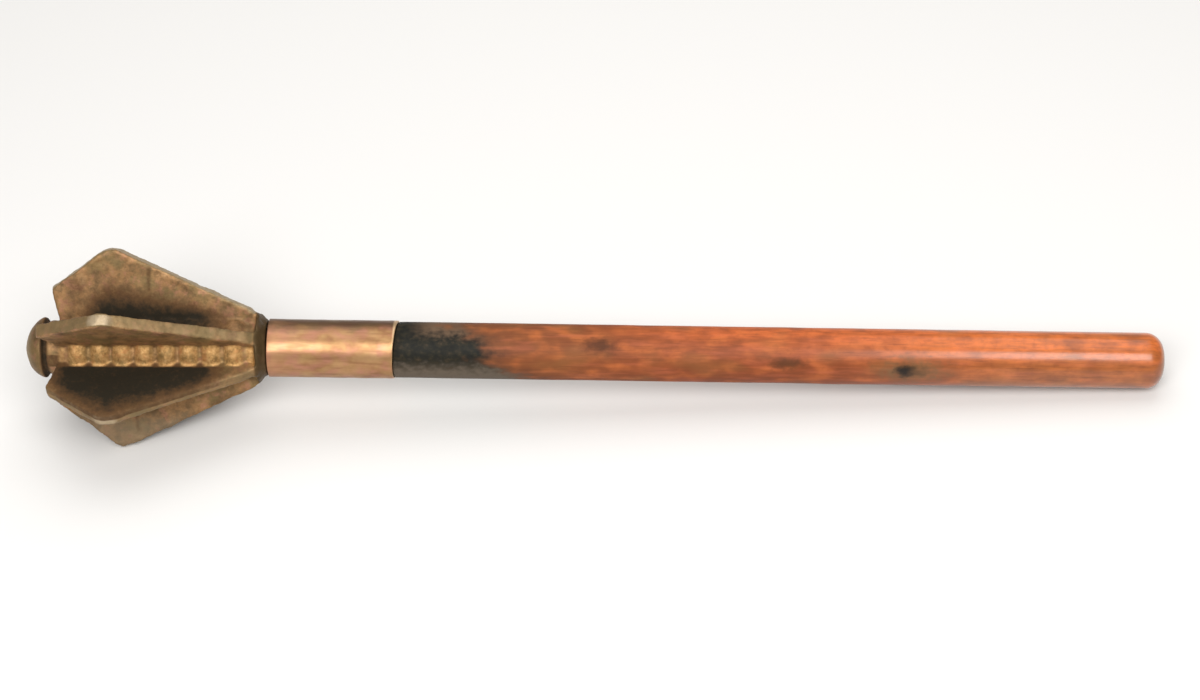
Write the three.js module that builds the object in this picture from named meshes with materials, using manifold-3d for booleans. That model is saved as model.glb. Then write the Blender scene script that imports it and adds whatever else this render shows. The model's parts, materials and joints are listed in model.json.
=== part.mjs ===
// A six-flanged ceremonial mace: a cast bronze head, a copper-alloy sleeve and a round wooden shaft.
// Millimetres, +Z up. Each piece is made along the mace's own +X axis, counted from the tip of the knob,
// and the whole mace then lies on two flanges and its butt, as it does when it is put down.
import * as THREE from "three";
import { mergeVertices } from "three/addons/utils/BufferGeometryUtils.js";
import Module from "manifold-3d";

// Driving dimensions.
const totalLength = 550;
const roundSegments = 48;
const gap = 0.3; // between one piece and the next
const headGap = 0.45; // behind the collar and in the socket, where the head leans

const knob = {
  length: 9.2,
  radius: 14.9,
  domeEnd: 78, // degrees of its dome's ellipse, which is cut off just before its widest place
  domeSteps: 9,
  rimRound: 0.6,
  grooveEnd: 12,
  grooveRadius: 12.2,
};
const core = { radius: 13.2 };
const beads = { count: 8, start: 21.6, pitch: 10.67, height: 2.2, steps: 4 };
const collar = { start: 112, radius: 17.6, frontLean: 0.4, end: 117, endRadius: 13.4 };
const socket = { radius: 9.8, depth: 70, pointLength: 5 };
// The head sits a little askew on its shaft: its knob leans by an angle, towards a direction counted from +Y.
const lean = { angle: 0.75, towards: 225 };
const flange = {
  count: 6,
  thickness: 5.8,
  edgeRound: 0.9,
  rootRadius: 11.4, // how deep its foot reaches into the core
  frontRoot: 17,
  tip: { along: 13.6, out: 30, wear: 1.4 },
  apex: { along: 44.1, out: 50.6 },
  heel: { along: 109.4, out: 19.4, wear: 1.6 },
  heelFoot: 115.2,
};
// No two flanges were cast and worn quite alike. In their order round the core: how far the wear at each apex
// reaches along its edges, how far each tip and apex stand forward of their proper places, and how far each
// tip falls short. The last two flanges carry the mace.
const differences = {
  apexWear: [7, 6, 5, 6, 4, 4],
  tipForward: [0, 0, 3.3, 0, 0, 0],
  apexForward: [0, 1.3, 0, 0, 0, 0],
  tipShort: [0, 0, 0, 0, 3, 0],
};
const sleeve = { length: 61.5, outerRadius: 14.05, wall: 1.2, lipRound: 0.35 };
const shaft = {
  radius: 13.55,
  tenonTaper: 1.1,
  tenonChamfer: 2,
  shoulderRound: 0.5,
  endRound: 8.2,
  endSteps: 7,
};

// Where each piece starts along the mace.
const sleeveStart = collar.end + headGap;
const sleeveEnd = sleeveStart + sleeve.length;
const neckRadius = sleeve.outerRadius - sleeve.wall - gap;
const tenonRadius = socket.radius - gap;
const tenonEnd = collar.end - socket.depth + headGap;

const bronze = new THREE.MeshStandardMaterial({ color: 0x85694a, roughness: 0.5, metalness: 0.8 });
const copperAlloy = new THREE.MeshStandardMaterial({ color: 0xc9905f, roughness: 0.35, metalness: 0.9 });
const redWood = new THREE.MeshStandardMaterial({ color: 0xa9572f, roughness: 0.45, metalness: 0 });

const wasm = await Module();
wasm.setup();

// A closed geometry as a solid that can be joined and cut.
function toSolid(geometry) {
  const plain = geometry.clone();
  plain.deleteAttribute("normal");
  plain.deleteAttribute("uv");
  const merged = mergeVertices(plain, 1e-4);
  const vertProperties = merged.attributes.position.array;
  const triVerts = new Uint32Array(merged.index.array);
  return new wasm.Manifold(new wasm.Mesh({ numProp: 3, vertProperties, triVerts }));
}

function toGeometry(solid) {
  const { vertProperties, triVerts } = solid.getMesh();
  const geometry = new THREE.BufferGeometry();
  geometry.setAttribute("position", new THREE.BufferAttribute(vertProperties, 3));
  geometry.setIndex(new THREE.BufferAttribute(triVerts, 1));
  geometry.computeVertexNormals();
  return geometry;
}

// A turned piece: its profile is a list of [distance along the mace, radius].
function turned(profile) {
  const points = profile.map(([along, radius]) => new THREE.Vector2(radius, along));
  return new THREE.LatheGeometry(points, roundSegments).rotateZ(-Math.PI / 2);
}

// Profile points on a quarter of an ellipse, from the first angle to the last, in degrees.
function arc(centreAlong, centreRadius, halfAlong, halfRadius, from, to, steps) {
  return Array.from({ length: steps + 1 }, (_, i) => {
    const angle = THREE.MathUtils.degToRad(from + ((to - from) * i) / steps);
    return [centreAlong - halfAlong * Math.cos(angle), centreRadius + halfRadius * Math.sin(angle)];
  });
}

// The domed knob and the groove behind it.
function knobProfile() {
  const rim = knob.rimRound;
  const domeEnd = THREE.MathUtils.degToRad(knob.domeEnd);
  const domeLength = knob.length / (1 - Math.cos(domeEnd));
  const domeRadius = knob.radius / Math.sin(domeEnd);
  return [
    ...arc(domeLength, 0, domeLength, domeRadius, 0, knob.domeEnd, knob.domeSteps),
    ...arc(knob.length, knob.radius - rim, rim, rim, 120, 180, 2),
    [knob.length + rim, knob.grooveRadius],
    [knob.grooveEnd - rim, knob.grooveRadius],
    [knob.grooveEnd, core.radius],
  ];
}

// The row of rounded beads that the core shows between the flanges.
function beadProfile() {
  const points = [];
  for (let i = 0; i <= beads.count * beads.steps; i++) {
    const share = i / beads.steps;
    const swell = Math.abs(Math.sin(Math.PI * share));
    points.push([beads.start + share * beads.pitch, core.radius + beads.height * swell]);
  }
  return points;
}

function collarProfile() {
  const slopeEnd = collar.start + collar.radius - collar.endRadius;
  return [
    [collar.start, core.radius],
    [collar.start + collar.frontLean, collar.radius],
    [slopeEnd, collar.endRadius],
    [collar.end, collar.endRadius],
    [collar.end, 0],
  ];
}

// A corner of an outline, worn round over the given reach along both its edges.
function wornCorner(shape, before, corner, after, reach) {
  const enter = corner.clone().add(before.clone().sub(corner).setLength(reach));
  const leave = corner.clone().add(after.clone().sub(corner).setLength(reach));
  shape.lineTo(enter.x, enter.y);
  shape.quadraticCurveTo(corner.x, corner.y, leave.x, leave.y);
}

// One flange, standing out along +Y: a short edge out to the tip, the apex, and the long slope to the heel.
function flangeGeometry(index) {
  const { tip, apex, heel, edgeRound } = flange;
  const { apexWear, tipForward, apexForward, tipShort } = differences;
  const frontFoot = new THREE.Vector2(flange.frontRoot, core.radius);
  const tipPoint = new THREE.Vector2(tip.along - tipForward[index], tip.out - tipShort[index]);
  const apexPoint = new THREE.Vector2(apex.along - apexForward[index], apex.out);
  const heelPoint = new THREE.Vector2(heel.along, heel.out);
  const heelFoot = new THREE.Vector2(flange.heelFoot, collar.endRadius);
  const shape = new THREE.Shape();
  shape.moveTo(frontFoot.x, flange.rootRadius);
  shape.lineTo(frontFoot.x, frontFoot.y);
  wornCorner(shape, frontFoot, tipPoint, apexPoint, tip.wear);
  wornCorner(shape, tipPoint, apexPoint, heelPoint, apexWear[index]);
  wornCorner(shape, apexPoint, heelPoint, heelFoot, heel.wear);
  shape.lineTo(heelFoot.x, heelFoot.y);
  shape.lineTo(heelFoot.x, flange.rootRadius);
  shape.closePath();
  const depth = flange.thickness - 2 * edgeRound;
  const extruded = new THREE.ExtrudeGeometry(shape, {
    depth,
    curveSegments: 6,
    bevelThickness: edgeRound,
    bevelSize: edgeRound,
    bevelOffset: -edgeRound,
    bevelSegments: 2,
  });
  return extruded.translate(0, 0, -depth / 2);
}

// The socket that takes the shaft's tenon, drilled from the collar and ending in a blunt point.
function socketGeometry() {
  const bottom = collar.end - socket.depth;
  const mouth = collar.end + 1;
  return turned([
    [bottom - socket.pointLength, 0],
    [bottom, socket.radius],
    [mouth, socket.radius],
    [mouth, 0],
  ]);
}

// The head is one casting: knob, beaded core, collar and six flanges.
function makeHead() {
  let solid = toSolid(turned([...knobProfile(), ...beadProfile(), ...collarProfile()]));
  for (let i = 0; i < flange.count; i++) {
    const around = (i * 2 * Math.PI) / flange.count;
    solid = solid.add(toSolid(flangeGeometry(i).rotateX(around)));
  }
  return toGeometry(solid.subtract(toSolid(socketGeometry())));
}

// The sleeve is a thin tube whose lips are softened by wear.
function makeSleeve() {
  const inner = sleeve.outerRadius - sleeve.wall;
  const round = sleeve.lipRound;
  return turned([
    [sleeveStart, inner],
    [sleeveStart, sleeve.outerRadius - round],
    [sleeveStart + round, sleeve.outerRadius],
    [sleeveEnd - round, sleeve.outerRadius],
    [sleeveEnd, sleeve.outerRadius - round],
    [sleeveEnd, inner],
    [sleeveStart, inner],
  ]);
}

// The shaft: a tenon in the head, a neck under the sleeve, then the full rod to the rounded butt.
function makeShaft() {
  const { radius, tenonTaper, tenonChamfer, shoulderRound, endRound, endSteps } = shaft;
  const shoulder = sleeveEnd + gap;
  const endCentre = totalLength - endRound;
  return turned([
    [tenonEnd, 0],
    [tenonEnd, tenonRadius - tenonTaper - tenonChamfer],
    [tenonEnd + tenonChamfer, tenonRadius - tenonTaper],
    [sleeveStart, tenonRadius],
    [sleeveStart, neckRadius],
    [shoulder, neckRadius],
    [shoulder, radius - shoulderRound],
    [shoulder + shoulderRound, radius],
    ...arc(endCentre, radius - endRound, endRound, endRound, 90, 180, endSteps),
    [totalLength, 0],
  ]);
}

function named(name, geometry, material) {
  const mesh = new THREE.Mesh(geometry, material);
  mesh.name = name;
  return mesh;
}

// The leaning head turns about the middle of its socket's mouth.
function makeLeaningHead() {
  const head = named("mace_head", makeHead(), bronze);
  head.position.x = -collar.end;
  const towards = THREE.MathUtils.degToRad(lean.towards);
  const hinge = new THREE.Vector3(0, Math.sin(towards), -Math.cos(towards));
  const leaning = new THREE.Group();
  leaning.add(head);
  leaning.position.x = collar.end;
  leaning.quaternion.setFromAxisAngle(hinge, THREE.MathUtils.degToRad(lean.angle));
  return leaning;
}

// The tilt of the mace at which its flanges and its butt reach down to the same level.
function restingTilt(lying, head, shaftMesh) {
  let low = 0;
  let high = Math.PI / 12;
  for (let i = 0; i < 40; i++) {
    lying.rotation.y = (low + high) / 2;
    lying.updateMatrixWorld(true);
    const [headBottom, shaftBottom] = [head, shaftMesh].map(
      (piece) => new THREE.Box3().setFromObject(piece, true).min.z,
    );
    if (headBottom < shaftBottom) low = lying.rotation.y;
    else high = lying.rotation.y;
  }
  return low;
}

const leaningHead = makeLeaningHead();
const shaftMesh = named("shaft", makeShaft(), redWood);
const lying = new THREE.Group();
lying.add(leaningHead);
lying.add(named("sleeve", makeSleeve(), copperAlloy));
lying.add(shaftMesh);
lying.rotation.y = restingTilt(lying, leaningHead, shaftMesh);

// The origin is the middle of the mace's outline on the surface that it lies on.
const outline = new THREE.Box3().setFromObject(lying, true);
const middle = outline.getCenter(new THREE.Vector3());
lying.position.set(-middle.x, -middle.y, -outline.min.z);

const mace = new THREE.Group();
mace.add(lying);
export default mace;
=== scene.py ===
import json
import math
import bpy
import numpy as np
from mathutils import Matrix, Quaternion, Vector


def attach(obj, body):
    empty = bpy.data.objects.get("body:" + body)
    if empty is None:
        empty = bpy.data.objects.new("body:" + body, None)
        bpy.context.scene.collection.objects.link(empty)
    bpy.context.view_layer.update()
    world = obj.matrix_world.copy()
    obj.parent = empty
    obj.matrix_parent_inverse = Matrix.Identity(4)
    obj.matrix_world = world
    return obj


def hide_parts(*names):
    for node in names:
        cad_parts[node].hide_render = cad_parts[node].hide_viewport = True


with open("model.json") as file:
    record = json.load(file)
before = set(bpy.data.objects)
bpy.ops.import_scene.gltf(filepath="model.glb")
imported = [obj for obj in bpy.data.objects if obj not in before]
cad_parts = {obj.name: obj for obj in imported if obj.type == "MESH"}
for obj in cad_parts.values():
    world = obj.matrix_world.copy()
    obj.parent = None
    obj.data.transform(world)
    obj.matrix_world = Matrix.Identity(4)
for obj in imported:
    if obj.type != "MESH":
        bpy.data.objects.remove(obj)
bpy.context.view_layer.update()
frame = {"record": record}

# Sizes are in millimetres along the mace's own line, counted from the tip of the knob, and out from it.
mm = 0.001
mace = {"length": 550, "turnSteps": 120, "weld": 0.005}

# The flat middle of the butt says where the mace's line ends and which way it points.
buttEnd = frame["record"]["mounts"][0]
alongMace = Vector(buttEnd["axis"]).normalized()
knobTip = Vector(buttEnd["pos_m"]) - alongMace * mace["length"] * mm
lyingTilt = math.atan2(-alongMace.z, alongMace.x)

# The camera looks down on the mace, square to its line, and is rolled a little.
view = {
    "elevation": 45,       # degrees round the mace's line, from the side of -Y
    "distance": 1164,
    "lens": 72,
    "middle": 277.6,       # the point of the mace in the middle of the picture
    "above": 1.26,         # and how far the middle of the picture is above it
    "roll": 0.84,
    "sensor": 36,
}


# Tools that every piece uses.

def hexColour(text):
    # sRGB hex to linear light
    parts = [int(text[i:i + 2], 16) / 255 for i in (1, 3, 5)]
    return [c / 12.92 if c <= 0.04045 else ((c + 0.055) / 1.055) ** 2.4 for c in parts] + [1]


def smoothStep(low, high, value):
    share = np.clip((value - low) / (high - low), 0, 1)
    return share * share * (3 - 2 * share)


def arcPoints(centre, halfSize, start, end, steps):
    # points on part of an ellipse; 0 degrees points to the knob and 90 degrees points out
    points = []
    for i in range(steps + 1):
        angle = math.radians(start + (end - start) * i / steps)
        points.append((centre[0] - halfSize[0] * math.cos(angle), centre[1] + halfSize[1] * math.sin(angle)))
    return points


def evenSteps(start, end, spacing):
    count = max(1, round(abs(end - start) / spacing))
    return [start + (end - start) * i / count for i in range(count + 1)]


def startPiece(name, first):
    # one point at the first place of an outline, ready to be extruded
    bpy.ops.object.select_all(action="DESELECT")
    bpy.ops.mesh.primitive_plane_add(size=mm, location=(0, 0, 0))
    piece = bpy.context.object
    piece.name = name
    piece.data.name = name
    bpy.ops.object.mode_set(mode="EDIT")
    bpy.ops.mesh.merge(type="CENTER")
    bpy.ops.transform.translate(value=(first[0] * mm, 0, first[1] * mm))
    return piece


def extrudeOutline(points):
    for before, after in zip(points, points[1:]):
        step = ((after[0] - before[0]) * mm, 0, (after[1] - before[1]) * mm)
        bpy.ops.mesh.extrude_region_move(TRANSFORM_OT_translate={"value": step})


def selectPoints(piece, wanted):
    # in edit mode, selects only the points whose place is wanted
    bpy.ops.mesh.select_all(action="DESELECT")
    bpy.ops.object.mode_set(mode="OBJECT")
    for vertex in piece.data.vertices:
        vertex.select = wanted(vertex.co)
    bpy.ops.object.mode_set(mode="EDIT")


def turnPiece(name, profile):
    # a profile of (along, out) points spun about the mace's line
    piece = startPiece(name, profile[0])
    extrudeOutline(profile)
    bpy.ops.mesh.select_all(action="SELECT")
    bpy.ops.mesh.spin(steps=mace["turnSteps"], angle=2 * math.pi, center=(0, 0, 0), axis=(1, 0, 0))
    bpy.ops.mesh.select_all(action="SELECT")
    bpy.ops.mesh.remove_doubles(threshold=mace["weld"] * mm)
    bpy.ops.mesh.normals_make_consistent(inside=False)
    bpy.ops.object.mode_set(mode="OBJECT")
    return piece


def applyModifier(piece, kind, settings):
    bpy.context.view_layer.objects.active = piece
    bpy.ops.object.modifier_add(type=kind)
    modifier = piece.modifiers[-1]
    for key, value in settings.items():
        setattr(modifier, key, value)
    bpy.ops.object.modifier_apply(modifier=modifier.name)


def roughen(piece, name, size, height, group=""):
    # cloudy relief of the given size and height, all over or where a vertex group allows it
    clouds = bpy.data.textures.new(name, "CLOUDS")
    clouds.noise_scale = size * mm
    clouds.noise_depth = 2
    settings = {"texture": clouds, "texture_coords": "LOCAL", "strength": height * mm, "mid_level": 0.5}
    if group:
        settings["vertex_group"] = group
    applyModifier(piece, "DISPLACE", settings)


def layDown(piece):
    # from the mace's own line to where the mace lies, with the place kept in the mesh
    bpy.ops.object.select_all(action="DESELECT")
    piece.select_set(True)
    bpy.context.view_layer.objects.active = piece
    piece.rotation_euler = (0, lyingTilt, 0)
    piece.location = knobTip
    bpy.ops.object.transform_apply(location=True, rotation=True, scale=True)
    bpy.ops.object.shade_smooth()


def finishPiece(piece, node, material):
    layDown(piece)
    piece.data.materials.clear()
    piece.data.materials.append(material)
    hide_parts(node)
    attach(piece, "root")
    print("made", piece.name, len(piece.data.polygons), "faces")


def addNode(tree, kind, settings=None, links=None):
    # settings are the node's own choices, plain values for its inputs, or the stops of a ramp
    made = tree.nodes.new(kind)
    values = dict(settings or {})
    for key in [k for k in values if isinstance(k, str) and hasattr(made, k)]:
        setattr(made, key, values.pop(key))
    for i, (position, colour) in enumerate(values.pop("stops", [])):
        elements = made.color_ramp.elements
        element = elements[i] if i < len(elements) else elements.new(position)
        element.position = position
        element.color = hexColour(colour)
    for key, value in values.items():
        made.inputs[key].default_value = value
    for key, socket in (links or {}).items():
        tree.links.new(socket, made.inputs[key])
    return made


def startMaterial(name):
    # a material whose patterns follow the mace's own line
    material = bpy.data.materials.new(name)
    material.use_nodes = True
    tree = material.node_tree
    tree.nodes.clear()
    place = addNode(tree, "ShaderNodeTexCoord").outputs["Object"]
    along = addNode(
        tree, "ShaderNodeMapping",
        {"vector_type": "TEXTURE", "Location": knobTip, "Rotation": (0, lyingTilt, 0)},
        {"Vector": place})
    return material, tree, along.outputs["Vector"]


def cloudPattern(tree, place, size, detail=4, roughness=0.6, stretch=1, start=0):
    # clouds of a size in millimetres, stretched along the mace; another start gives other clouds
    scale = 1 / (size * mm)
    scaled = addNode(
        tree, "ShaderNodeMapping",
        {"Location": (start, start, start), "Scale": (scale / stretch, scale, scale)}, {"Vector": place})
    clouds = addNode(
        tree, "ShaderNodeTexNoise", {"Scale": 1, "Detail": detail, "Roughness": roughness},
        {"Vector": scaled.outputs[0]})
    return clouds.outputs["Fac"]


def makeUneven(tree, mask, clouds, amount):
    # moves a mask up and down with the clouds
    shift = addNode(
        tree, "ShaderNodeMath", {"operation": "MULTIPLY_ADD", 1: 2 * amount, 2: -amount}, {0: clouds})
    return addNode(tree, "ShaderNodeMath", {"operation": "ADD"}, {0: mask, 1: shift.outputs[0]}).outputs[0]


def layColour(tree, under, mask, low, high, amount, colour):
    # lays a colour on another: none of it where the mask is low, the full amount where it is high
    share = addNode(
        tree, "ShaderNodeMapRange",
        {"interpolation_type": "SMOOTHSTEP", "From Min": low, "From Max": high, "To Max": amount},
        {"Value": mask})
    mixed = addNode(tree, "ShaderNodeMix", {"data_type": "RGBA"}, {0: share.outputs[0], 6: under})
    if isinstance(colour, str):
        mixed.inputs[7].default_value = hexColour(colour)
    else:
        tree.links.new(colour, mixed.inputs[7])
    return mixed.outputs[2]


def placeParts(tree, place, radius):
    # how far along the mace each place is, and how high it is on a rod of that radius: from -1, low at the
    # front, to 1, high at the back
    parts = addNode(tree, "ShaderNodeSeparateXYZ", links={"Vector": place})
    raised = addNode(
        tree, "ShaderNodeMath", {"operation": "ADD"}, {0: parts.outputs["Y"], 1: parts.outputs["Z"]})
    high = addNode(
        tree, "ShaderNodeMath", {"operation": "MULTIPLY", 1: math.sqrt(0.5) / (radius * mm)},
        {0: raised.outputs[0]})
    return parts.outputs["X"], high.outputs[0]


def finishMaterial(tree, settings, links):
    shader = addNode(tree, "ShaderNodeBsdfPrincipled", settings, links)
    addNode(tree, "ShaderNodeOutputMaterial", links={"Surface": shader.outputs[0]})


# The head: one casting of knob, beaded core, collar and six flanges.

head = {
    "coreRadius": 13.2,
    "knobLength": 9.2, "knobRadius": 14.9, "knobRim": 0.7, "domeEnd": 78,
    "grooveEnd": 12, "grooveRadius": 12.2,
    "beadStart": 21.6, "beadPitch": 10.67, "beadCount": 8, "beadHeight": 2.2, "beadGap": 0.6,
    "beadSwell": 0.85,                   # 1 gives a plain sine; less gives fuller beads
    "collarStart": 112, "collarRadius": 17.6, "collarLip": 0.4, "collarEnd": 117, "endRadius": 13.4,
    "socketRadius": 9.8, "socketBottom": 47, "socketPoint": 42,
    "flangeCount": 6, "footRadius": 11.4,
    "flangeThickness": 5.7, "frontThickness": 6.4,   # at the foot, and at the tip and apex
    "thickFrom": 22.4,                   # a flange is at its front thickness further out than this
    "frontRoot": 17,
    "tip": (13.6, 30), "apex": (44.1, 50.6), "heel": (109.4, 19.4), "heelFoot": 115.2,
    "tipWear": 1.4, "heelWear": 1.6, "cornerSteps": 6,
    "apexWear": (7, 6, 5, 6, 4, 4),      # how far each apex is worn back along its edges
    "tipForward": (0, 0, 3.3, 0, 0, 0),  # no two flanges were cast quite alike
    "tipLower": (0, 0, 0, 0, 3, 0),
    "apexForward": (0, 1.3, 0, 0, 0, 0),
    "grain": 0.78,                       # the size of the finished mesh's faces
    "softening": 6,
    # relief: how big its lumps are, and how high
    "edgeRelief": (7, 1), "castRelief": (14, 0.8), "grainRelief": (2.8, 0.2),
    "leanAngle": 0.75, "leanTowards": 225,   # the head sits a little askew; degrees, counted from +Y
    # Dirt and painted shade on each flange, low in the valleys: on the side of the flange before it, and on
    # the side of the next one. It is thick up to the first share of the flange's height, gone by the second,
    # and starts this far along.
    "dirtAndShade": (
        ((0.15, 0.6, 30), (0.1, 0.55, 26)),
        ((0.2, 0.7, 30), (0.17, 0.66, 30)),
        ((0.15, 0.6, 32), (-1, 0, 30)),
        ((0.6, 1.4, 15), (0.3, 0.9, 24)),
        ((0, 0.5, 26), (0.2, 0.7, 30)),
        ((0.1, 0.6, 28), (0.1, 0.5, 30)),
    ),
    "dirtAndShadeFade": 10,                      # it starts gradually, this far before and after that place
    "dirtAndShadeThins": (103, 82), "dirtAndShadeLeft": 0.25,   # it thins to this share of itself towards the collar
    # smears of dirt: the flange's number, how far along, how far out it begins and ends, half its width and
    # how strong it is
    "smears": (
        (1, 60.5, 26, 43, 1.3, 0.4),
        (1, 26, 14, 38, 6, 0.3),
        (4, 52, 30, 44, 1.3, 0.3),
        (0, 72, 20, 33, 1.3, 0.4),
        (5, 38, 24, 40, 1.3, 0.4),
    ),
    "smearFade": 4, "smearLean": 0.05,
    # how dark the painted shade in the groove behind the knob is
    "grooveShade": 0.8,
    "edgeWearAndHighlight": (0.6, 0.95, 0.5, 0.45, 0.4, 0.6),   # how bright each flange's narrow edge is made, by wear and by a painted highlight
    "apexRubAndHighlight": (14, 3),                # this near its apex an edge gets a brighter painted highlight over its wear, and is brightest
    "rubbing": (0.3, 0.12, 1, 0.35, 0.15, 0.4),     # how rubbed the valley after each flange is
    "gapRubbing": 0.35,                  # the share of it between the beads
    "knobWearAndHighlight": 0.75, "knobWearAndHighlightReach": (6.5, 2),   # the knob is worn and given a painted highlight up to here, and fully up to here
    "knobDull": 0.4, "knobReach": 16,
    "rimWear": (4.2, 1),                 # this far in from its rim a flange gets uneven, and is most uneven
}


def knobProfile():
    # the dome is an ellipse cut off just before its widest place
    rim = head["knobRim"]
    domeEnd = math.radians(head["domeEnd"])
    dome = (head["knobLength"] / (1 - math.cos(domeEnd)), head["knobRadius"] / math.sin(domeEnd))
    return [
        *arcPoints((dome[0], 0), dome, 0, head["domeEnd"], 14),
        *arcPoints((head["knobLength"], head["knobRadius"] - rim), (rim, rim), 120, 180, 3),
        (head["knobLength"] + rim, head["grooveRadius"]),
        (head["grooveEnd"] - rim, head["grooveRadius"]),
        (head["grooveEnd"], head["coreRadius"]),
    ]


def beadProfile():
    # worn, rounded rings with a narrow groove between each two
    points = []
    stepsPerBead = 8
    low = head["coreRadius"] - head["beadGap"]
    for i in range(head["beadCount"] * stepsPerBead + 1):
        share = i / stepsPerBead
        swell = abs(math.sin(math.pi * share)) ** head["beadSwell"]
        out = low + (head["beadGap"] + head["beadHeight"]) * swell
        points.append((head["beadStart"] + share * head["beadPitch"], out))
    return points


def collarProfile():
    slopeEnd = head["collarStart"] + head["collarRadius"] - head["endRadius"]
    return [
        (head["collarStart"], head["coreRadius"]),
        (head["collarStart"] + head["collarLip"], head["collarRadius"]),
        (slopeEnd, head["endRadius"]),
        (head["collarEnd"], head["endRadius"]),
        (head["collarEnd"], head["socketRadius"]),
        (head["socketBottom"], head["socketRadius"]),
        (head["socketPoint"], 0),
    ]


def wornCorner(before, corner, after, reach):
    # a corner worn round over the given reach along both its edges
    steps = head["cornerSteps"]
    corner, before, after = Vector(corner), Vector(before), Vector(after)
    enter = corner + (before - corner).normalized() * reach
    leave = corner + (after - corner).normalized() * reach
    points = []
    for i in range(steps + 1):
        share = i / steps
        points.append((1 - share) ** 2 * enter + 2 * share * (1 - share) * corner + share ** 2 * leave)
    return points


def flangeCorners(index):
    tip = (head["tip"][0] - head["tipForward"][index], head["tip"][1] - head["tipLower"][index])
    apex = (head["apex"][0] - head["apexForward"][index], head["apex"][1])
    frontRoot = (head["frontRoot"], head["coreRadius"])
    heelFoot = (head["heelFoot"], head["endRadius"])
    return frontRoot, tip, apex, head["heel"], heelFoot


def flangeOutline(index):
    frontRoot, tip, apex, heel, heelFoot = flangeCorners(index)
    return [
        (frontRoot[0], head["footRadius"]),
        frontRoot,
        *wornCorner(frontRoot, tip, apex, head["tipWear"]),
        *wornCorner(tip, apex, heel, head["apexWear"][index]),
        *wornCorner(apex, heel, heelFoot, head["heelWear"]),
        heelFoot,
        (heelFoot[0], head["footRadius"]),
    ]


def makeFlange(index):
    outline = flangeOutline(index)
    flange = startPiece("flange" + str(index), outline[0])
    extrudeOutline(outline)
    bpy.ops.mesh.select_all(action="SELECT")
    bpy.ops.mesh.edge_face_add()
    half = head["flangeThickness"] * mm / 2
    bpy.ops.transform.translate(value=(0, -half, 0))
    bpy.ops.mesh.extrude_region_move(TRANSFORM_OT_translate={"value": (0, 2 * half, 0)})
    bpy.ops.mesh.select_all(action="SELECT")
    bpy.ops.mesh.normals_make_consistent(inside=False)
    selectPoints(flange, lambda place: place.z > head["thickFrom"] * mm)
    bpy.ops.transform.resize(
        value=(1, head["frontThickness"] / head["flangeThickness"], 1), center_override=(0, 0, 0))
    bpy.ops.object.mode_set(mode="OBJECT")
    # the outline stands up along Z, and the first flange lies along +Y
    flange.rotation_euler = (math.radians(index * 360 / head["flangeCount"] - 90), 0, 0)
    bpy.ops.object.transform_apply(location=False, rotation=True, scale=False)
    return flange


def headPlaces(piece):
    # where each point of the head is: along, out, degrees from the nearest flange, and that flange's number
    places = np.empty(len(piece.data.vertices) * 3)
    piece.data.vertices.foreach_get("co", places)
    along, side, up = places.reshape(-1, 3).T / mm
    out = np.hypot(side, up)
    turn = np.degrees(np.arctan2(up, side)) % 360
    between = 360 / head["flangeCount"]
    number = np.round(turn / between).astype(int)
    return along, out, turn - number * between, number % head["flangeCount"]


def flangeReach(along, number):
    # how far out each flange stands at each place along the mace
    reach = np.empty(len(along))
    for i in range(head["flangeCount"]):
        corners = flangeCorners(i)[1:]
        mine = number == i
        reach[mine] = np.interp(along[mine], [c[0] for c in corners], [c[1] for c in corners])
    return reach


def flangeDirtAndShade(along, out, number, side, height):
    # dirt and painted shade, thick low down on the flanges' sides, thinner by the collar, with a few smears
    # of dirt
    full, gone, start = np.array(head["dirtAndShade"])[number, side].T
    dirtAndShade = np.clip((gone - height) / (gone - full), 0, 1)
    dirtAndShade *= smoothStep(-head["dirtAndShadeFade"], head["dirtAndShadeFade"], along - start)
    dirtAndShade *= head["dirtAndShadeLeft"] + (1 - head["dirtAndShadeLeft"]) * smoothStep(*head["dirtAndShadeThins"], along)
    dirtAndShade *= smoothStep(head["collarStart"] + 1, head["collarStart"] - 3, along)
    fade = head["smearFade"]
    for flangeNumber, place, low, high, width, strength in head["smears"]:
        offSmear = along - place - (out - low) * head["smearLean"]
        smear = strength * np.exp(-(offSmear / width) ** 2) * (number == flangeNumber)
        smear *= smoothStep(low, low + fade, out) * smoothStep(high, high - fade, out)
        dirtAndShade = np.maximum(dirtAndShade, smear)
    return dirtAndShade


def grooveShade(along, out):
    # painted shade in the groove behind the knob, and a little way up the flanges beside it
    dirtAndShade = smoothStep(head["knobLength"] - 0.8, head["knobLength"] + 0.5, along)
    dirtAndShade *= smoothStep(head["grooveEnd"] + 0.8, head["grooveEnd"] - 0.5, along)
    dirtAndShade *= smoothStep(head["coreRadius"] + 2.3, head["coreRadius"] + 1, out)
    return head["grooveShade"] * dirtAndShade


def valleyRubbing(along, out, across, valley):
    # the core between the flanges, from the first bead to the collar
    beadTop = head["coreRadius"] + head["beadHeight"]
    halfFlange = head["flangeThickness"] / 2
    rubbing = smoothStep(head["grooveEnd"] + 2, head["beadStart"] + 2, along)
    rubbing *= smoothStep(head["collarStart"] + 1.6, head["collarStart"] - 0.5, along)
    rubbing *= smoothStep(halfFlange - 0.6, halfFlange + 0.8, across)
    rubbing *= smoothStep(beadTop + 1.6, beadTop + 0.2, out)
    return rubbing * np.array(head["rubbing"])[valley]


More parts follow.
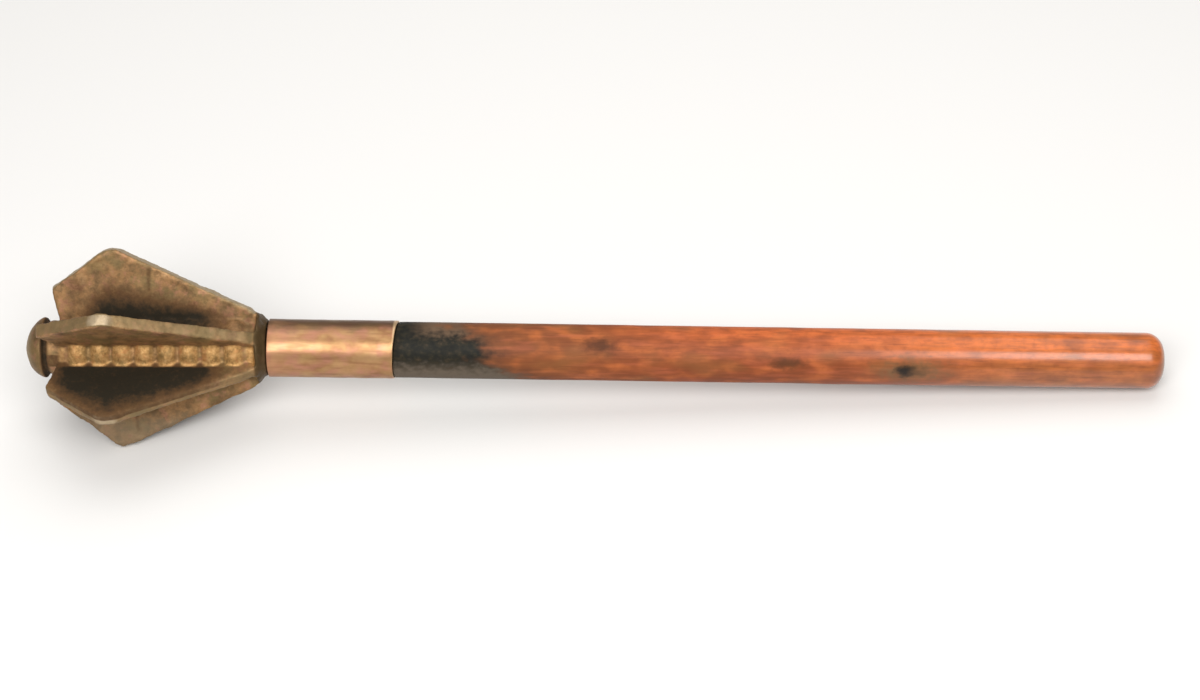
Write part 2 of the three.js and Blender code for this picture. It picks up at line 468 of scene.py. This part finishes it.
def wornEdgesAndHighlight(along, out, across, number):
    # the narrow edges are worn and carry a painted highlight, most of all at each apex, and so does the top
    # of the knob
    halfFlange = head["flangeThickness"] / 2
    shine = smoothStep(halfFlange + 0.3, halfFlange - 0.5, across) * (out > head["collarRadius"])
    fromApex = np.hypot(along - head["apex"][0], out - head["apex"][1])
    shine *= np.maximum(np.array(head["edgeWearAndHighlight"])[number], smoothStep(*head["apexRubAndHighlight"], fromApex))
    return np.maximum(shine, head["knobWearAndHighlight"] * smoothStep(*head["knobWearAndHighlightReach"], along))


def dullPatinaAndCollarShade(along, out):
    # the collar, dark patina with painted shade, and less so the knob
    dullAndShaded = smoothStep(head["collarStart"] - 1, head["collarStart"] + 0.6, along)
    onKnob = smoothStep(head["grooveEnd"] + 3, head["grooveEnd"], along) * (out < head["knobReach"])
    return np.maximum(dullAndShaded, head["knobDull"] * onKnob)


def markRims(piece, inFromRim, height):
    # a vertex group for the outer half of each flange, near its rim
    group = piece.vertex_groups.new(name="edges")
    nearRim = smoothStep(*head["rimWear"], inFromRim) * (height > 0.5)
    for i in np.nonzero(nearRim > 0.05)[0]:
        group.add([int(i)], float(nearRim[i]), "REPLACE")


def paintHeadWearAndLight(piece):
    # red: dirt and painted shade, green: worn edges with a painted highlight, blue: rubbed beads, alpha: the
    # dull collar, with painted shade, and the knob
    along, out, offFlange, number = headPlaces(piece)
    reach = flangeReach(along, number)
    across = out * np.abs(np.sin(np.radians(offFlange)))
    height = np.clip((out - head["coreRadius"]) / np.maximum(reach - head["coreRadius"], 1), 0, 1.2)
    side = (offFlange > 0).astype(int)
    valley = np.where(side == 1, number, (number - 1) % head["flangeCount"])
    rubbing = valleyRubbing(along, out, across, valley)
    swell = np.abs(np.sin(np.pi * (along - head["beadStart"]) / head["beadPitch"]))
    rubbed = rubbing * (head["gapRubbing"] + (1 - head["gapRubbing"]) * smoothStep(0.1, 0.8, swell))
    dirtAndShade = flangeDirtAndShade(along, out, number, side, height) * (1 - rubbing)
    dirtAndShade = np.maximum(dirtAndShade, grooveShade(along, out))
    wearDirtAndPaintedLight = np.stack((dirtAndShade, wornEdgesAndHighlight(along, out, across, number), rubbed, dullPatinaAndCollarShade(along, out)), axis=1)
    layer = piece.data.attributes.new("wearDirtAndPaintedLight", "FLOAT_COLOR", "POINT")
    layer.data.foreach_set("color", wearDirtAndPaintedLight.ravel())
    markRims(piece, reach - out, height)


def leanHead(piece):
    # the knob leans a little, about the middle of the socket's mouth
    towards = math.radians(head["leanTowards"])
    hinge = Vector((0, math.sin(towards), -math.cos(towards)))
    mouth = Vector((head["collarEnd"] * mm, 0, 0))
    turn = Matrix.Rotation(math.radians(head["leanAngle"]), 4, hinge)
    piece.matrix_world = Matrix.Translation(mouth) @ turn @ Matrix.Translation(-mouth)
    bpy.ops.object.transform_apply(location=True, rotation=True, scale=False)


def makeHead():
    core = turnPiece("headCasting", [*knobProfile(), *beadProfile(), *collarProfile()])
    flanges = [makeFlange(i) for i in range(head["flangeCount"])]
    bpy.ops.object.select_all(action="DESELECT")
    for flange in flanges:
        flange.select_set(True)
    core.select_set(True)
    bpy.context.view_layer.objects.active = core
    bpy.ops.object.join()
    applyModifier(core, "REMESH", {"mode": "VOXEL", "voxel_size": head["grain"] * mm, "adaptivity": 0})
    applyModifier(core, "SMOOTH", {"factor": 0.5, "iterations": head["softening"]})
    paintHeadWearAndLight(core)
    roughen(core, "worn edges", *head["edgeRelief"], "edges")
    roughen(core, "cast unevenness", *head["castRelief"])
    roughen(core, "cast grain", *head["grainRelief"])
    leanHead(core)
    return core


def patinaTone(tree, place, clouds, edge, dullAndShaded):
    # brown and olive, dark on the collar with painted shade, greyer on the lowest flanges and pale along the
    # worn edges, where a painted highlight lies too
    patina = addNode(
        tree, "ShaderNodeValToRGB",
        {"stops": [(0.3, "#5c462d"), (0.44, "#7d6040"), (0.55, "#96714a"), (0.7, "#a8845c")]},
        {"Fac": clouds["cloudy"]})
    tone = layColour(tree, patina.outputs[0], clouds["broad"], 0.48, 0.62, 0.42, "#766a43")
    tone = layColour(tree, tone, clouds["spots"], 0.52, 0.66, 0.5, "#ae7a60")
    tone = layColour(tree, tone, clouds["spots"], 0.46, 0.34, 0.5, "#5f4a2e")
    # dark on the collar, patina with painted shade, and less so on the knob
    tone = layColour(tree, tone, dullAndShaded, 0, 1, 0.92, "#46361e")
    high = placeParts(tree, place, head["apex"][1])[1]
    low = makeUneven(tree, high, clouds["spots"], 0.15)
    tone = layColour(tree, tone, low, -0.6, -0.8, 0.55, "#7c6f5a")
    # the worn edges carry a painted highlight: pale, and cream at the apexes and the knob's tip
    worn = makeUneven(tree, edge, clouds["fine"], 0.3)
    tone = layColour(tree, tone, worn, 0.1, 0.6, 0.7, "#7f6c4b")
    return layColour(tree, tone, worn, 0.6, 1.1, 0.8, "#b3a084")


def rubbedBrass(tree, clouds):
    # the golden metal that shows through where the beads are rubbed
    brass = addNode(
        tree, "ShaderNodeValToRGB",
        {"stops": [(0.34, "#86653a"), (0.5, "#ad8450"), (0.66, "#c49b66")]}, {"Fac": clouds["fine"]})
    gold = layColour(tree, brass.outputs[0], clouds["spots"], 0.52, 0.66, 0.5, "#b37848")
    return layColour(tree, gold, clouds["spots"], 0.46, 0.34, 0.5, "#75613a")


def bronzeMaterial():
    # cast bronze: a dull brown and olive patina, pitted by the mould, nearly black where dirt and painted
    # shade lie thick and brassy where it is rubbed
    material, tree, place = startMaterial("castBronzePatina")
    paint = addNode(tree, "ShaderNodeAttribute", {"attribute_name": "wearDirtAndPaintedLight"})
    parts = addNode(tree, "ShaderNodeSeparateColor", links={"Color": paint.outputs["Color"]})
    dirtAndShade, edge, rubbed = parts.outputs
    clouds = {
        "cloudy": cloudPattern(tree, place, 8, detail=7, roughness=0.7),
        "broad": cloudPattern(tree, place, 16, detail=3, start=3),
        "spots": cloudPattern(tree, place, 5, detail=4, start=7),
        "fine": cloudPattern(tree, place, 2.2, detail=5, roughness=0.7, start=5),
        "pits": cloudPattern(tree, place, 1.6, detail=6, roughness=0.75, start=9),
    }
    tone = patinaTone(tree, place, clouds, edge, paint.outputs["Alpha"])
    dirtAndShadeMask = makeUneven(tree, makeUneven(tree, dirtAndShade, clouds["fine"], 0.25), clouds["spots"], 0.3)
    # dirt and painted shade in the valleys: brown, then nearly black
    tone = layColour(tree, tone, dirtAndShadeMask, 0.02, 0.55, 0.9, "#54391f")
    tone = layColour(tree, tone, dirtAndShadeMask, 0.4, 1, 0.97, "#1d190e")
    rubbed = makeUneven(tree, rubbed, clouds["fine"], 0.15)
    tone = layColour(tree, tone, rubbed, 0.15, 0.8, 1, rubbedBrass(tree, clouds))
    relief = addNode(
        tree, "ShaderNodeBump", {"Strength": 0.45, "Distance": 0.35 * mm}, {"Height": clouds["pits"]})
    # dirt, and the painted shade laid with it, hides the metal and is rougher than it
    metal = addNode(
        tree, "ShaderNodeMapRange",
        {"From Min": 0.1, "From Max": 0.6, "To Min": 0.5, "To Max": 0}, {"Value": dirtAndShadeMask})
    gloss = addNode(
        tree, "ShaderNodeMapRange",
        {"From Min": 0.1, "From Max": 0.6, "To Min": 0.52, "To Max": 0.85}, {"Value": dirtAndShadeMask})
    finishMaterial(tree, {"Specular IOR Level": 0.25}, {
        "Base Color": tone,
        "Metallic": metal.outputs[0],
        "Roughness": gloss.outputs[0],
        "Normal": relief.outputs[0],
    })
    return material


# The sleeve between the head and the bare wood.

sleeve = {
    "start": 117.45, "end": 178.95, "radius": 14.05, "wall": 1.2, "lip": 0.4,
    "slant": 5,          # degrees that its free end is off square
    "ringSpacing": 2,
    "dents": (11, 0.35),
    # how far the pink reaches from the head, and how wide the lip's wear and painted highlight are
    "pinkReach": 18, "lipWearAndHighlight": 1.6,
}


def slantEnd(piece, low, high):
    # turns the rings between two places about the line of sight, so that the end is off square
    lift = math.radians(view["elevation"])
    toCamera = Vector((0, -math.cos(lift), math.sin(lift)))
    ahead = Vector((1, 0, 0))
    sight = Matrix((ahead, toCamera.cross(ahead), toCamera)).transposed()
    bpy.ops.object.mode_set(mode="EDIT")
    selectPoints(piece, lambda place: low * mm < place.x < high * mm)
    bpy.ops.transform.rotate(
        value=math.radians(sleeve["slant"]), orient_axis="Z", orient_type="GLOBAL",
        orient_matrix=sight, orient_matrix_type="GLOBAL", center_override=(sleeve["end"] * mm, 0, 0))
    bpy.ops.object.mode_set(mode="OBJECT")


def makeSleeve():
    inner = sleeve["radius"] - sleeve["wall"]
    lip = sleeve["lip"]
    spacing = sleeve["ringSpacing"]
    rings = evenSteps(sleeve["start"] + lip, sleeve["end"] - lip, spacing)
    outside = [(x, sleeve["radius"]) for x in rings]
    inside = [(x, inner) for x in evenSteps(sleeve["end"], sleeve["start"], 3 * spacing)]
    profile = [
        (sleeve["start"], inner),
        *arcPoints((sleeve["start"] + lip, sleeve["radius"] - lip), (lip, lip), 0, 60, 2),
        *outside,
        *arcPoints((sleeve["end"] - lip, sleeve["radius"] - lip), (lip, lip), 120, 180, 2),
        *inside,
    ]
    tube = turnPiece("copperSleeve", profile)
    slantEnd(tube, sleeve["end"] - 2 * lip, sleeve["end"] + lip)
    roughen(tube, "sleeve dents", *sleeve["dents"])
    return tube


def copperMaterial():
    # a copper alloy sheet drawn into a tube: satin, with a long soft shine over brown and pink tarnish, and
    # a painted dark reflection along its top
    material, tree, place = startMaterial("wornCopperAlloy")
    cloudy = cloudPattern(tree, place, 8, detail=3, roughness=0.5, stretch=1.6)
    spots = cloudPattern(tree, place, 5, detail=2, roughness=0.5, stretch=1.3, start=4)
    streaks = cloudPattern(tree, place, 2.2, detail=3, roughness=0.5, stretch=7, start=6)
    tarnish = addNode(
        tree, "ShaderNodeValToRGB",
        {"stops": [(0.32, "#835b39"), (0.46, "#9c724b"), (0.58, "#ab8059"), (0.7, "#b78c63")]},
        {"Fac": cloudy})
    tone = layColour(tree, tarnish.outputs[0], spots, 0.45, 0.75, 0.45, "#b5925f")
    tone = layColour(tree, tone, spots, 0.56, 0.25, 0.7, "#ad7560")
    tone = layColour(tree, tone, streaks, 0.55, 0.3, 0.45, "#79532f")
    along, high = placeParts(tree, place, sleeve["radius"])
    # pinker by the head, and a painted dark reflection along the top
    pinkEnd = sleeve["start"] + sleeve["pinkReach"]
    tone = layColour(tree, tone, along, pinkEnd * mm, sleeve["start"] * mm, 0.4, "#b57d60")
    tone = layColour(tree, tone, makeUneven(tree, high, cloudy, 0.5), 0.45, 0.9, 0.75, "#4c3724")
    # the free lip is rubbed, and given a painted highlight
    lipStart = sleeve["end"] - sleeve["lipWearAndHighlight"]
    tone = layColour(tree, tone, along, lipStart * mm, (lipStart + 1) * mm, 0.8, "#cfae84")
    relief = addNode(tree, "ShaderNodeBump", {"Strength": 0.3, "Distance": 0.2 * mm}, {"Height": spots})
    gloss = addNode(
        tree, "ShaderNodeMapRange",
        {"From Min": 0.35, "From Max": 0.65, "To Min": 0.44, "To Max": 0.35}, {"Value": cloudy})
    finishMaterial(tree, {"Metallic": 0.65}, {
        "Base Color": tone,
        "Roughness": gloss.outputs[0],
        "Normal": relief.outputs[0],
    })
    return material


# The shaft, with its neck inside the sleeve and its tenon inside the head.

shaft = {
    "radius": 13.55, "neckRadius": 12.55, "tenonRadius": 9.5, "tenonTaper": 1.1, "tenonChamfer": 2,
    "tenonStart": 47.45,
    "shoulder": 179.25, "shoulderRound": 0.5, "endRound": 8.2,
    "ringSpacing": 4,
    "relief": (30, 0.3),
    # knots and smears: along, degrees round from +Y, length, width, colour and how strong it is
    "knots": (
        (427, 166, 32, 13, "#6d5335", 0.75),
        (429, 167, 15, 6, "#4b3119", 0.7),
        (423.8, 165, 8, 7.5, "#1c1108", 1),
        (367, 152, 15, 6, "#4d2e18", 0.8),
        (277, 121, 15, 8, "#452410", 0.85),
        (330, 330, 12, 7, "#5a351e", 0.8),
        (470, 20, 10, 6, "#54351f", 0.8),
    ),
    "woodStart": 180,
    # where the dark stain ends, and how much shorter it is along the top and longer along the underside
    "stainEnd": 219, "stainTop": 12, "stainUnder": 20,
    "stainWaves": 14, "stainRags": 6,              # how far its end wanders, broadly and finely
    "brownFringe": (18, -4), "blackFringe": (9, -8),   # from its end, where each tone starts and is full
    "brownTop": (183, 200),                        # its top turns brown between these places
    "gloss": (300, 450), "varnish": (370, 520),    # the wood gets glossier, and the varnish thicker
    "greyButtRim": (3.5, 0.5),                      # the butt's rim is greyer, counted from its end
}


def makeShaft():
    radius, endRound = shaft["radius"], shaft["endRound"]
    tipRadius = shaft["tenonRadius"] - shaft["tenonTaper"]
    endCentre = (mace["length"] - endRound, radius - endRound)
    rodStart = shaft["shoulder"] + shaft["shoulderRound"]
    rod = [(x, radius) for x in evenSteps(rodStart, endCentre[0], shaft["ringSpacing"])]
    profile = [
        (shaft["tenonStart"], 0),
        (shaft["tenonStart"], tipRadius - shaft["tenonChamfer"]),
        (shaft["tenonStart"] + shaft["tenonChamfer"], tipRadius),
        (sleeve["start"], shaft["tenonRadius"]),
        (sleeve["start"], shaft["neckRadius"]),
        (shaft["shoulder"], shaft["neckRadius"]),
        (shaft["shoulder"], radius - shaft["shoulderRound"]),
        *rod,
        *arcPoints(endCentre, (endRound, endRound), 90, 180, 12)[1:],
        (mace["length"], 0),
    ]
    wood = turnPiece("woodenShaft", profile)
    slantEnd(wood, shaft["shoulder"] - shaft["shoulderRound"], rodStart + shaft["shoulderRound"])
    roughen(wood, "hand worn wood", *shaft["relief"])
    return wood


def knotDistance(tree, place, knot, clouds):
    # how far each place is from a knot's heart: 1 at its rim, longer along the mace than across
    along, turn, length, width = knot[:4]
    angle = math.radians(turn)
    middle = (along * mm, shaft["radius"] * mm * math.cos(angle), shaft["radius"] * mm * math.sin(angle))
    half = (length * mm / 2, width * mm / 2, width * mm / 2)
    near = addNode(
        tree, "ShaderNodeMapping", {"vector_type": "TEXTURE", "Location": middle, "Scale": half},
        {"Vector": place})
    distance = addNode(tree, "ShaderNodeVectorMath", {"operation": "LENGTH"}, {"Vector": near.outputs[0]})
    return makeUneven(tree, distance.outputs["Value"], clouds, 0.7)


def redStainTone(tree, along, high, clouds):
    # browner near the head and brighter towards the butt, with painted light above and painted shade below
    share = addNode(
        tree, "ShaderNodeMapRange",
        {"From Min": shaft["woodStart"] * mm, "From Max": mace["length"] * mm}, {"Value": along}).outputs[0]
    stain = addNode(
        tree, "ShaderNodeValToRGB",
        {"stops": [(0.05, "#6a4024"), (0.21, "#7c4523"), (0.34, "#8a4726"), (0.47, "#984d2a"),
                   (0.6, "#a2552f"), (0.78, "#ae6036"), (1, "#b06439")]}, {"Fac": share})
    tone = stain.outputs[0]
    # painted light along the top and painted shade underneath, by height on the rod
    upper = makeUneven(tree, high, clouds["patches"], 0.5)
    paintedLitTop = layColour(tree, tone, upper, 0.1, 0.75, 0.75, "#cc6631")
    tone = layColour(tree, tone, share, 0.2, 0.45, 1, paintedLitTop)
    paintedShadeBelow = layColour(tree, tone, upper, 0.3, -0.4, 0.6, "#70361a")
    tone = layColour(tree, tone, share, 0.25, 0.45, 1, paintedShadeBelow)
    # by the butt the painted shade underneath is less brown and the painted light on top is orange
    plain = layColour(tree, tone, share, 0.66, 0.8, 0.7, "#a55d29")
    tone = layColour(tree, tone, upper, 0, -0.4, 1, plain)
    paintedLitOrange = layColour(tree, tone, upper, -0.35, 0.3, 0.85, "#d06a22")
    return layColour(tree, tone, share, 0.55, 0.8, 1, paintedLitOrange)


def mottleWood(tree, tone, clouds):
    # darker brown, bright orange, pinkish and olive, over the stain
    tone = layColour(tree, tone, clouds["mottling"], 0.56, 0.26, 0.5, "#6a3519")
    tone = layColour(tree, tone, clouds["mottling"], 0.46, 0.78, 0.42, "#cb6f38")
    tone = layColour(tree, tone, clouds["ragged"], 0.58, 0.28, 0.3, "#713a1e")
    tone = layColour(tree, tone, clouds["streaks"], 0.56, 0.28, 0.35, "#733b1e")
    tone = layColour(tree, tone, clouds["streaks"], 0.46, 0.78, 0.25, "#c46a4a")
    tone = layColour(tree, tone, clouds["patches"], 0.48, 0.74, 0.26, "#7d5a30")
    return layColour(tree, tone, clouds["grain"], 0.5, 0.3, 0.3, "#5d3018")


def pastDarkStain(tree, along, high, clouds):
    # how far along each place is, made further along the top and less far underneath, with a ragged edge
    topShort = addNode(
        tree, "ShaderNodeMapRange",
        {"interpolation_type": "SMOOTHSTEP", "From Min": 0.3, "From Max": 0.9,
         "To Max": shaft["stainTop"] * mm}, {"Value": high})
    underLong = addNode(
        tree, "ShaderNodeMapRange",
        {"interpolation_type": "SMOOTHSTEP", "From Min": -0.3, "From Max": -1,
         "To Max": shaft["stainUnder"] * mm}, {"Value": high})
    slanting = addNode(
        tree, "ShaderNodeMath", {"operation": "ADD"}, {0: along, 1: topShort.outputs[0]})
    reach = addNode(
        tree, "ShaderNodeMath", {"operation": "SUBTRACT"}, {0: slanting.outputs[0], 1: underLong.outputs[0]})
    wavy = makeUneven(tree, reach.outputs[0], clouds["mottling"], shaft["stainWaves"] * mm)
    return makeUneven(tree, wavy, clouds["ragged"], shaft["stainRags"] * mm)


def layDarkStain(tree, tone, along, high, clouds):
    # the nearly black stain that spreads from the sleeve, grey underneath and brown along the top
    past = pastDarkStain(tree, along, high, clouds)
    brownFringe = [(shaft["stainEnd"] + away) * mm for away in shaft["brownFringe"]]
    blackFringe = [(shaft["stainEnd"] + away) * mm for away in shaft["blackFringe"]]
    tone = layColour(tree, tone, past, *brownFringe, 0.7, "#4a3120")
    blot = addNode(
        tree, "ShaderNodeValToRGB",
        {"stops": [(0.34, "#0d0c06"), (0.5, "#18160c"), (0.62, "#262013"), (0.78, "#3a2e20")]},
        {"Fac": clouds["ragged"]})
    raggedHeight = makeUneven(tree, high, clouds["ragged"], 0.4)
    dark = layColour(tree, blot.outputs[0], raggedHeight, -0.3, -0.9, 0.75, "#675a4c")
    brownTop = layColour(tree, dark, raggedHeight, 0.25, 0.9, 0.8, "#6e5540")
    dark = layColour(tree, dark, along, shaft["brownTop"][0] * mm, shaft["brownTop"][1] * mm, 1, brownTop)
    return layColour(tree, tone, past, *blackFringe, 1, dark)


def woodMaterial():
    # hardwood, turned, stained red and varnished: soft streaks and mottling, glossier towards the butt
    material, tree, place = startMaterial("stainedVarnishedWood")
    clouds = {
        "streaks": cloudPattern(tree, place, 2.4, detail=3, roughness=0.5, stretch=8),
        "mottling": cloudPattern(tree, place, 6, detail=1.5, roughness=0.4, stretch=1.7, start=3),
        "patches": cloudPattern(tree, place, 11, detail=1.5, roughness=0.4, stretch=1.8, start=6),
        "grain": cloudPattern(tree, place, 1, detail=3, roughness=0.6, stretch=12, start=8),
        "ragged": cloudPattern(tree, place, 2.6, detail=3, roughness=0.55, stretch=1.3, start=9),
    }
    along, high = placeParts(tree, place, shaft["radius"])
    tone = mottleWood(tree, redStainTone(tree, along, high, clouds), clouds)
    for knot in shaft["knots"]:
        distance = knotDistance(tree, place, knot, clouds["ragged"])
        tone = layColour(tree, tone, distance, 1.6, 0.2, knot[5], knot[4])
    tone = layDarkStain(tree, tone, along, high, clouds)
    rimStart, rimEnd = [(mace["length"] - away) * mm for away in shaft["greyButtRim"]]
    tone = layColour(tree, tone, along, rimStart, rimEnd, 0.7, "#8c6a4c")
    relief = addNode(
        tree, "ShaderNodeBump", {"Strength": 0.25, "Distance": 0.2 * mm}, {"Height": clouds["streaks"]})
    gloss = addNode(
        tree, "ShaderNodeMapRange",
        {"From Min": shaft["gloss"][0] * mm, "From Max": shaft["gloss"][1] * mm,
         "To Min": 0.62, "To Max": 0.4}, {"Value": along})
    # the varnish is whole by the butt and worn away by the head
    varnish = addNode(
        tree, "ShaderNodeMapRange",
        {"interpolation_type": "SMOOTHSTEP", "From Min": shaft["varnish"][0] * mm,
         "From Max": shaft["varnish"][1] * mm, "To Max": 0.8}, {"Value": along})
    finishMaterial(tree, {"IOR": 1.5, "Specular IOR Level": 0.2, "Coat IOR": 1.5, "Coat Roughness": 0.2}, {
        "Base Color": tone,
        "Coat Weight": varnish.outputs[0],
        "Roughness": makeUneven(tree, gloss.outputs[0], clouds["mottling"], 0.06),
        "Normal": relief.outputs[0],
    })
    return material


# All three pieces, each in place of its plain solid.

bronze = bronzeMaterial()
copperAlloy = copperMaterial()
redWood = woodMaterial()
print("materials ready")

finishPiece(makeHead(), "mace_head", bronze)
finishPiece(makeSleeve(), "sleeve", copperAlloy)
finishPiece(makeShaft(), "shaft", redWood)


# Floor, light and camera.

studio = {
    "floorSize": 6, "floorColour": "#dbd9d6", "floorRoughness": 0.9,
    "surround": 0.3,
    "lampDistance": 1.5,
    # each lamp's height in degrees round the mace's line from the side of -Y, its length, width and roll,
    # and its power
    "lamps": {
        "softKey": (53, 1.8, 0.7, 14, 29),
        "softTop": (112, 1.5, 1.5, 0, 13),
    },
}


def makeFloor():
    bpy.ops.object.select_all(action="DESELECT")
    bpy.ops.mesh.primitive_plane_add(size=studio["floorSize"], location=(0, 0, 0))
    floor = bpy.context.object
    floor.name = "paleFloor"
    material = bpy.data.materials.new("paleFloor")
    material.use_nodes = True
    surface = material.node_tree.nodes["Principled BSDF"]
    surface.inputs["Base Color"].default_value = hexColour(studio["floorColour"])
    surface.inputs["Roughness"].default_value = studio["floorRoughness"]
    floor.data.materials.append(material)


def addLamp(name, height, length, width, roll, power):
    lift = math.radians(height)
    place = Vector((0, -math.cos(lift), math.sin(lift))) * studio["lampDistance"]
    bpy.ops.object.light_add(type="AREA", location=place)
    lamp = bpy.context.object
    lamp.name = name
    lamp.data.shape = "RECTANGLE"
    lamp.data.size = length
    lamp.data.size_y = width
    lamp.data.energy = power
    rolled = Quaternion((0, 0, 1), math.radians(roll))
    lamp.rotation_euler = (place.to_track_quat("Z", "Y") @ rolled).to_euler()


def lightScene():
    world = bpy.data.worlds.new("paleStudio")
    world.use_nodes = True
    surround = world.node_tree.nodes["Background"]
    surround.inputs["Color"].default_value = (1, 1, 1, 1)
    surround.inputs["Strength"].default_value = studio["surround"]
    bpy.context.scene.world = world
    for name, lamp in studio["lamps"].items():
        addLamp(name, *lamp)
    bpy.context.scene.view_settings.view_transform = "Standard"


def addCamera():
    lift = math.radians(view["elevation"])
    aboveMace = Vector((math.sin(lyingTilt), 0, math.cos(lyingTilt)))
    toCamera = math.cos(lift) * Vector((0, -1, 0)) + math.sin(lift) * aboveMace
    straightUp = toCamera.cross(alongMace)
    roll = math.radians(view["roll"])
    right = alongMace * math.cos(roll) + straightUp * math.sin(roll)
    up = toCamera.cross(right)
    target = knobTip + alongMace * view["middle"] * mm + up * view["above"] * mm
    turn = Matrix((right, up, toCamera)).transposed().to_4x4()
    data = bpy.data.cameras.new("camera")
    data.lens = view["lens"]
    data.sensor_width = view["sensor"]
    camera = bpy.data.objects.new("camera", data)
    camera.matrix_world = Matrix.Translation(target + toCamera * view["distance"] * mm) @ turn
    bpy.context.collection.objects.link(camera)
    bpy.context.scene.camera = camera


makeFloor()
lightScene()
addCamera()
